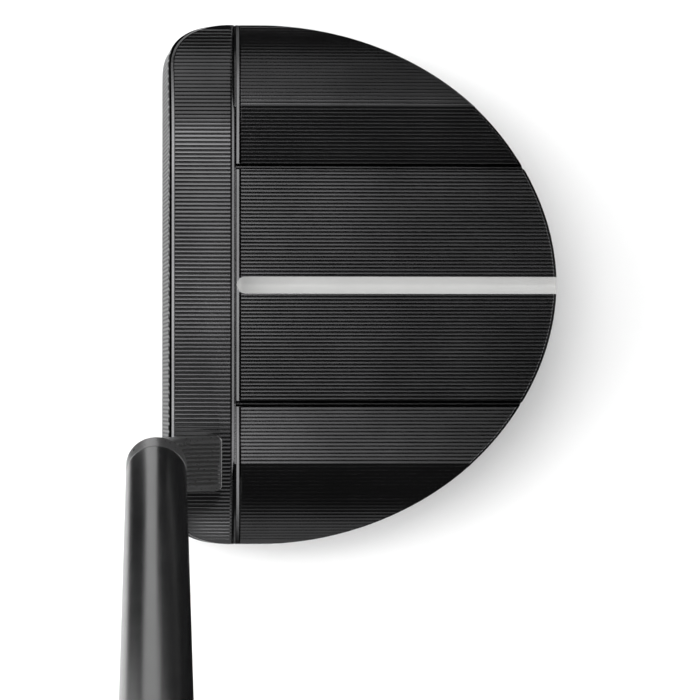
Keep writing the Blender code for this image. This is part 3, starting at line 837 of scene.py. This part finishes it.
def make_neck_screw(metal):
    x, y = NECK_BASE
    low, high = box_mm("neck_screw")
    bottom, top = low[2], high[2]
    head_top = bottom + 3.6
    sides = 48
    profile = [
        (2.6, bottom + 0.06), (3.15, bottom), (3.5, bottom + 0.35), (3.5, head_top - 0.15),
        (3.35, head_top), (1.95, head_top), (1.75, head_top + 1.0),
    ]
    rings = plain_rings(profile, x, y, sides)
    rings += thread_rings(x, y, 1.95, 0.22, 0.7, head_top + 1.2, top - 0.6, sides)
    rings += plain_rings([(1.75, top - 0.5), (1.5, top)], x, y, sides)
    screw = ring_body("neck_screw_cut", rings, [metal])
    boolean(screw, hex_tool(x, y, 1.8, -0.5, 2.6), "DIFFERENCE")
    smooth(screw, 34.0)
    return screw


def make_plate(metal):
    """The pocket's cover: a small chamfer round its edge, and countersunk holes."""
    low, high = box_mm("sole_plate")
    top = high[2]
    full, small = half_moon(8.5, low[1]), half_moon(8.75, low[1] + 0.25)
    steps = [(small, 0.0), (full, 0.25), (full, top - 0.15), (half_moon(8.65, low[1] + 0.15), top)]
    rings = [np.column_stack([outline, np.full(len(outline), z)]) for outline, z in steps]
    plate = ring_body("sole_plate_brushed", rings, [metal])
    holes = []
    for number in range(1, 7):
        x, y, _ = node_centre(f"sole_screw_{number}")
        profile = [(2.8, -1.0), (2.8, 0.1), (1.5, 1.45), (1.5, 3.0)]
        holes.append(turned("tool", profile, x, y, (), 40))
    boolean(plate, joined("tools", holes), "DIFFERENCE")
    smooth(plate, 34.0)
    return plate


# ---------------------------------------------------------------- neck, shaft and grip

def neck_shape(half_x, half_y, lines, sides):
    """The neck's section, with milled lines on its flat back and front."""
    each = sides // 4
    corner = rounded_rectangle(half_x, half_y, NECK_ROUND, sides)
    flat = half_x - NECK_ROUND[0]
    points = []
    for quarter in range(4):
        points.append(corner[quarter * each:(quarter + 1) * each])
        if quarter in (0, 2):
            direction = -1 if quarter == 0 else 1
            x = direction * np.linspace(-flat, flat, 82)[1:-1]
            phase = np.abs((x / NECK_LINE_PITCH) % 1.0 - 0.5) * 2.0
            depth = -lines * NECK_LINE_DEPTH * np.clip(1.0 - (phase / 0.62) ** 2, 0.0, 1.0)
            y = half_y + depth
            points.append(np.column_stack([x, y if quarter == 0 else -y]))
        else:
            direction = -1 if quarter == 1 else 1
            y = -direction * np.linspace(-1.0, 1.0, 8)[1:-1] * (half_y - NECK_ROUND[1])
            points.append(np.column_stack([np.full_like(y, direction * half_x), -y]))
    return np.vstack(points)


def neck_frame(share):
    lean = (math.pi / 2 - LIE) * share**2
    half_depth = NECK_DEPTHS[0] + (NECK_DEPTHS[1] - NECK_DEPTHS[0]) * share
    collar = AXIS_GROUND + AXIS * COLLAR_S[0]
    base = np.array([*NECK_BASE, BAR_TOP + 1.5])
    centre = base + (collar - base) * share
    along = np.array([math.cos(lean), 0.0, -math.sin(lean)])
    return centre, along, half_depth


def paint_groove_shade(neck, metal):
    """Paints shade into the bottoms of the neck's milled lines, as a near-black matte material on their faces.
    """
    neck.data.materials.append(metal)
    low, high = neck_frame(0.0)[0][2], neck_frame(1.0)[0][2]
    for face in neck.data.polygons:
        x, y, z = np.array(face.center) / MM
        share, across = 0.5, 0.0
        for _ in range(4):
            rise = z - low + across * math.sin((math.pi / 2 - LIE) * share**2)
            share = min(max(rise / (high - low), 0.0), 1.0)
            centre, along, half_depth = neck_frame(share)
            across = (x - centre[0]) / along[0]
        phase = abs((across / NECK_LINE_PITCH) % 1.0 - 0.5) * 2.0
        on_back = abs(y - centre[1]) > half_depth - 0.4 and abs(across) < NECK_FLAT
        if phase < 0.5 and on_back and 0.02 < share < 0.95:
            face.material_index = len(neck.data.materials) - 1


def make_neck(metal, groove_shade):
    """Tenon, flared foot on the bar, leaning post with a lined back, round collar and the shaft's post."""
    sides = 48
    half_x = NECK_FLAT + NECK_ROUND[0]

    def on_bar(shape, lift):
        points = shape + NECK_BASE
        return np.column_stack([points, bar_top(points[:, 0], points[:, 1]) + lift])

    count = len(neck_shape(half_x, NECK_DEPTHS[0], 0.0, sides))
    tenon_shape = neck_shape(TENON_HALF[0], TENON_HALF[1], 0.0, sides)
    tenon = tenon_shape + NECK_BASE
    rings = [
        np.column_stack([tenon, np.full(count, TENON_BOTTOM)]),
        on_bar(tenon_shape, 0.02),
        on_bar(neck_shape(half_x + 0.25, NECK_DEPTHS[0] + 0.35, 0.0, sides), 0.02),
        on_bar(neck_shape(half_x + 0.12, NECK_DEPTHS[0] + 0.16, 0.0, sides), 0.20),
        on_bar(neck_shape(half_x + 0.04, NECK_DEPTHS[0] + 0.05, 0.0, sides), 0.55),
        on_bar(neck_shape(half_x, NECK_DEPTHS[0], 0.0, sides), 0.95),
    ]
    for share in (0.01, 0.03, 0.1, 0.3, 0.5, 0.7, 0.9, 0.96, 1.0):
        centre, along, half_depth = neck_frame(share)
        narrowed = half_x - 1.1 * max(0.0, (share - 0.85) / 0.15)
        shape = neck_shape(narrowed, half_depth, 1.0 if 0.02 < share < 0.95 else 0.0, sides)
        rings.append(centre + shape[:, :1] * along + shape[:, 1:2] * ACROSS)
    neck = ring_body("neck_milled", rings, [metal], crease=38.0)
    low, high = COLLAR_S
    steps = [
        (COLLAR_RADIUS - 1.2, low - 0.3), (COLLAR_RADIUS - 0.25, low), (COLLAR_RADIUS, low + 0.25),
        (COLLAR_RADIUS, high - 0.2), (COLLAR_RADIUS - 0.2, high), (POST_RADIUS, high),
        (POST_RADIUS, POST_TOP_S - 1.0), (POST_RADIUS - 0.8, POST_TOP_S),
    ]
    collar = ring_body("tool", [axis_ring(s, circle(radius, 128)) for radius, s in steps], ())
    boolean(neck, collar, "UNION")
    hole = turned("tool", [(2.1, TENON_BOTTOM - 1.0), (2.1, 20.0), (0.3, 20.9)], *NECK_BASE, (), 32)
    boolean(neck, hole, "DIFFERENCE")
    # painted shade: the groove bottoms get the near-black matte
    paint_groove_shade(neck, groove_shade)
    smooth(neck, 36.0)
    return neck


def shaft_radius(s):
    return np.minimum(SHAFT_TIP_RADIUS + SHAFT_TAPER / 2 * (s - SHAFT_TIP_S), SHAFT_BUTT_RADIUS)


def make_shaft(paint):
    sides = 128
    tip = SHAFT_TIP_S - 0.2
    full_s = SHAFT_TIP_S + 2 * (SHAFT_BUTT_RADIUS - SHAFT_TIP_RADIUS) / SHAFT_TAPER
    outer = [(tip, SHAFT_TIP_RADIUS - 0.12), (tip + 0.12, SHAFT_TIP_RADIUS)]
    outer += [(s, float(shaft_radius(s))) for s in np.linspace(tip + 1.0, full_s, 40)]
    outer += [(CLUB_LENGTH - 0.2, SHAFT_BUTT_RADIUS), (CLUB_LENGTH, SHAFT_BUTT_RADIUS - 0.2)]
    narrow_end = POST_TOP_S + 4.0
    inner = [(tip, SHAFT_BORE_RADIUS), (narrow_end, SHAFT_BORE_RADIUS)]
    inner += [(s, float(shaft_radius(s)) - SHAFT_WALL) for s in (narrow_end + 20.0, full_s, CLUB_LENGTH)]
    rings = [axis_ring(s, circle(r, sides)) for s, r in outer]
    rings += [axis_ring(s, circle(r, sides)) for s, r in reversed(inner)]
    return ring_body("shaft_painted", rings, [paint], True)


def grip_size(s):
    return [np.interp(s, GRIP_STATIONS[:, 0], GRIP_STATIONS[:, k]) for k in (1, 2, 3)]


def grip_section(s, inset, sides, relief=0.0):
    """A pistol grip's section; relief draws points in towards the axis by that many millimetres."""
    width, flat, back = (size - inset - GRIP_INSET for size in grip_size(s))
    u, v = circle(1.0, sides).T
    power = np.where(v > 0, 0.62, 0.88)
    across = width * np.sign(u) * np.abs(u) ** power
    reach = np.where(v > 0, flat * 1.12, back)
    rise = np.minimum(reach * np.sign(v) * np.abs(v) ** power, flat)
    points = np.column_stack([across, rise])
    length = np.linalg.norm(points, axis=1, keepdims=True)
    return points * (1.0 - np.reshape(relief, (-1, 1)) / length)


def grip_relief(s, sides):
    """A generic embossing: small diamonds round the back, and rows of fine ribs on the flat."""
    start, end = GRIP_STATIONS[0, 0], GRIP_STATIONS[-1, 0]
    u, v = circle(1.0, sides).T
    turn = np.arctan2(u, v)
    fade = np.clip(min((s - start - 9.0) / 3.0, (end - 9.0 - s) / 3.0), 0.0, 1.0)
    diagonal = 14.0 * turn / math.tau
    row = s / 6.0
    first = np.abs((diagonal + row) % 1.0 - 0.5) * 2.0
    second = np.abs((diagonal - row) % 1.0 - 0.5) * 2.0
    groove = np.clip((np.maximum(first, second) - 0.80) / 0.14, 0.0, 1.0)
    on_back = np.clip((np.abs(turn) - 0.95) / 0.10, 0.0, 1.0)
    rib = np.clip((np.abs((s / 3.0) % 1.0 - 0.5) * 2.0 - 0.45) / 0.3, 0.0, 1.0)
    on_flat = np.clip((0.42 - np.abs(turn)) / 0.06, 0.0, 1.0)
    panel = 1.0 if (s - start) % 44.0 > 8.0 else 0.0
    return fade * (0.32 * groove * on_back + 0.22 * rib * on_flat * panel)


def make_grip_skin(skin):
    sides = 224
    start, end = GRIP_STATIONS[0, 0], GRIP_STATIONS[-1, 0]
    stations = np.arange(start + 1.2, end - 0.5, 0.75)
    mouth = ((start, 0.7), (start + 0.4, 0.2))
    rings = [axis_ring(s, grip_section(start, inset, sides)) for s, inset in mouth]
    rings += [axis_ring(s, grip_section(s, 0.0, sides, grip_relief(s, sides))) for s in stations]
    rings.append(axis_ring(end, grip_section(end, 0.0, sides)))
    for s in np.linspace(end, start, 12):
        rings.append(axis_ring(s, grip_section(s, GRIP_WALL, sides)))
    return ring_body("grip_embossed", rings, [skin], True, 40.0)


def make_grip_cap(rubber):
    sides = 96
    seat = CLUB_LENGTH + 0.1
    plug = SHAFT_BUTT_RADIUS - SHAFT_WALL - GAP
    vent = 1.2
    top = seat + 3.1
    inside = [(CLUB_LENGTH - 12.0, plug - 0.5), (CLUB_LENGTH - 11.4, plug), (seat, plug)]
    outer = [
        (seat, 0.25), (seat + 0.25, 0.02), (seat + 1.6, 0.0),
        (seat + 2.3, 0.3), (seat + 2.8, 1.1), (top, 2.4),
    ]
    dish = [(top, 6.4), (top - 0.5, 5.9), (top - 0.5, 2.0), (top - 0.7, vent)]
    rings = [axis_ring(s, circle(r, sides)) for s, r in inside]
    rings += [axis_ring(s, grip_section(CLUB_LENGTH, inset, sides)) for s, inset in outer]
    rings += [axis_ring(s, circle(r, sides)) for s, r in dish]
    rings.append(axis_ring(CLUB_LENGTH - 12.0, circle(vent, sides)))
    return ring_body("grip_cap_moulded", rings, [rubber], True, 40.0)


# ---------------------------------------------------------------- stage

def make_floor():
    look = Look("pale_floor", (0.92, 0.92, 0.92), 0.9)
    look.vary_colour(look.spread(look.noise((3, 3, 3)), 0.3, 0.7, 0.0, 1.0), (0.90, 0.90, 0.90))
    size = 40000.0
    corners = [(-size, -size, 0), (size, -size, 0), (size, size, 0), (-size, size, 0)]
    floor = add_object("floor", np.array(corners, float), [[0, 1, 2, 3]], [look.material])


def make_dark_cards():
    """Black cards on the floor round the head, seen only in reflections, as in a product studio."""
    x = np.linspace(-48.0, 48.0, 31)
    head_edge = list(zip(x, outline_y(x) + 1.5))
    cards = {"front_card": DARK_CARDS["front_card"], "rear_card": DARK_CARDS["rear_card"] + head_edge}
    black = Look("card_black", (0.002, 0.002, 0.002), 1.0)
    black.shader.inputs["Specular IOR Level"].default_value = 0.0
    black.vary_colour(black.noise((20, 20, 20)), (0.001, 0.001, 0.001))
    for name, corners in cards.items():
        points = np.array([(x, y, 0.3) for x, y in corners])
        card = add_object(name, points, [list(range(len(corners)))], [black.material])
        card.visible_camera = False
        card.visible_diffuse = False
        card.visible_shadow = False


def aim(obj, target, up):
    """Turns an object's -Z axis to the target, with its +Y axis towards up."""
    back = (obj.location - Vector(target)).normalized()
    side = Vector(up).cross(back).normalized()
    rise = back.cross(side)
    matrix = obj.matrix_world.to_3x3()
    matrix.col[0], matrix.col[1], matrix.col[2] = side, rise, back
    obj.rotation_euler = matrix.to_euler()


class Studio:
    """A world of soft light panels, each a smooth-edged patch of directions."""

    def __init__(self, ambient):
        world = bpy.data.worlds.new("studio")
        world.use_nodes = True
        bpy.context.scene.world = world
        self.tree = world.node_tree
        place = self.tree.nodes.new("ShaderNodeTexCoord")
        split = self.tree.nodes.new("ShaderNodeSeparateXYZ")
        self.tree.links.new(place.outputs["Generated"], split.inputs[0])
        self.x, self.y, self.z = split.outputs
        self.total = ambient

    def math(self, operation, first, second=0.0):
        node = self.tree.nodes.new("ShaderNodeMath")
        node.operation = operation
        for socket, value in zip(node.inputs, (first, second)):
            if isinstance(value, float):
                socket.default_value = value
            else:
                self.tree.links.new(value, socket)
        return node.outputs[0]

    def ramp(self, value, start, end):
        node = self.tree.nodes.new("ShaderNodeMapRange")
        node.interpolation_type = "SMOOTHSTEP"
        self.tree.links.new(value, node.inputs["Value"])
        node.inputs["From Min"].default_value = start
        node.inputs["From Max"].default_value = end
        return node.outputs["Result"]

    def between(self, value, low, high, soft):
        """One between the limits, in degrees, and nothing beyond them."""
        low, high, soft = (math.radians(angle) for angle in (low, high, soft))
        rising = self.ramp(value, low - soft, low + soft)
        falling = self.ramp(value, high - soft, high + soft)
        return self.math("SUBTRACT", rising, falling)

    def add(self, mask, radiance):
        self.total = self.math("ADD", self.total, self.math("MULTIPLY", mask, radiance))

    def panel_above(self, x_low, x_high, y_low, y_high, soft, radiance):
        """A panel given by how far it leans from straight up, towards +X and towards +Y."""
        lean_x = self.math("ARCTAN2", self.x, self.z)
        lean_y = self.math("ARCTAN2", self.y, self.z)
        across = self.between(lean_x, x_low, x_high, soft)
        along = self.between(lean_y, y_low, y_high, soft)
        self.add(self.math("MULTIPLY", across, along), radiance)

    def strip(self, towards, low, high, radiance, reach=0.75):
        """A strip round part of the horizon, between two elevations."""
        height = self.math("ARCSINE", self.z)
        side = self.math("MULTIPLY", self.x, towards[0])
        side = self.math("ADD", side, self.math("MULTIPLY", self.y, towards[1]))
        flat = self.math("SQRT", self.math("SUBTRACT", 1.0001, self.math("MULTIPLY", self.z, self.z)))
        facing = self.ramp(self.math("DIVIDE", side, flat), reach - 0.2, reach + 0.2)
        self.add(self.math("MULTIPLY", facing, self.between(height, low, high, 4.0)), radiance)

    def finish(self):
        background = self.tree.nodes["Background"]
        background.inputs["Color"].default_value = (1.0, 1.0, 1.0, 1.0)
        self.tree.links.new(self.total, background.inputs["Strength"])


def make_lights():
    studio = Studio(0.07)
    studio.panel_above(-60.0, -0.5, -50.0, 2.0, 2.0, 1.6)
    studio.panel_above(-14.0, -4.5, -50.0, 1.6, 2.5, 4.4)
    studio.strip((0.0, -1.0), 3.0, 38.0, 9.0, 0.88)
    studio.strip((0.0, 1.0), 0.0, 22.0, 4.6)
    studio.strip((1.0, 0.0), 0.0, 35.0, 0.8)
    studio.finish()
    light = bpy.data.lights.new("overhead", "AREA")  # metres and watts
    light.size = 1.6
    light.energy = 13.0
    overhead = bpy.data.objects.new("overhead", light)
    overhead.location = (0.0, 0.0, 1.5)
    overhead.visible_glossy = False
    bpy.context.scene.collection.objects.link(overhead)


def make_camera():
    """Looks down over the head from the player's side, the toe at the top of the picture."""
    scene = bpy.context.scene
    camera = bpy.data.cameras.new("camera")
    camera.lens = 200.0
    camera.sensor_width = 36.0
    camera.clip_start, camera.clip_end = 0.05, 60.0
    obj = bpy.data.objects.new("camera", camera)
    obj.location = Vector((21.1, -37.65, BAR_TOP + 715.0)) * MM
    aim(obj, Vector((12.0, -1.9, BAR_TOP)) * MM, (-1, 0, 0))
    scene.collection.objects.link(obj)
    scene.camera = obj
    scene.view_settings.view_transform = "Standard"


# ---------------------------------------------------------------- assembly

BODIES = {node: body for body, nodes in frame["record"]["behaviour"]["bodies"].items() for node in nodes}


def stand_for(piece, node):
    """The piece takes the CAD node's place, on the same body."""
    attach(piece, BODIES[node])
    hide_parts(node)


def dress(node, material):
    """A CAD node that stays gets a finished material."""
    data = frame["nodes"][node].data
    data.materials.clear()
    data.materials.append(material)


def main():
    make_camera()
    make_lights()
    make_floor()
    make_dark_cards()
    look = make_materials()
    stand_for(make_head(look["head"]), "head_body")
    stand_for(make_sight_paint(look["paint"]), "sight_line_inlay")
    stand_for(make_plate(look["plate"]), "sole_plate")
    for number in range(1, 7):
        stand_for(make_sole_screw(number, look["screw"]), f"sole_screw_{number}")
    for label in ("toe", "heel"):
        stand_for(make_weight(label, look["tungsten"]), f"{label}_weight")
        stand_for(make_seal(label, look["seal"]), f"{label}_weight_seal")
    # the neck's groove bottoms get a painted shade material
    stand_for(make_neck(look["neck"], look["neck_groove_shade"]), "hosel_neck")
    stand_for(make_neck_screw(look["screw"]), "neck_screw")
    stand_for(make_shaft(look["shaft"]), "shaft")
    stand_for(make_grip_skin(look["grip"]), "grip_skin")
    stand_for(make_grip_cap(look["cap"]), "grip_cap")
    dress("damping_core", look["core"])
    dress("shaft_epoxy", look["epoxy"])
    dress("grip_tape", look["tape"])
    dress("grip_core", look["foam"])


main()
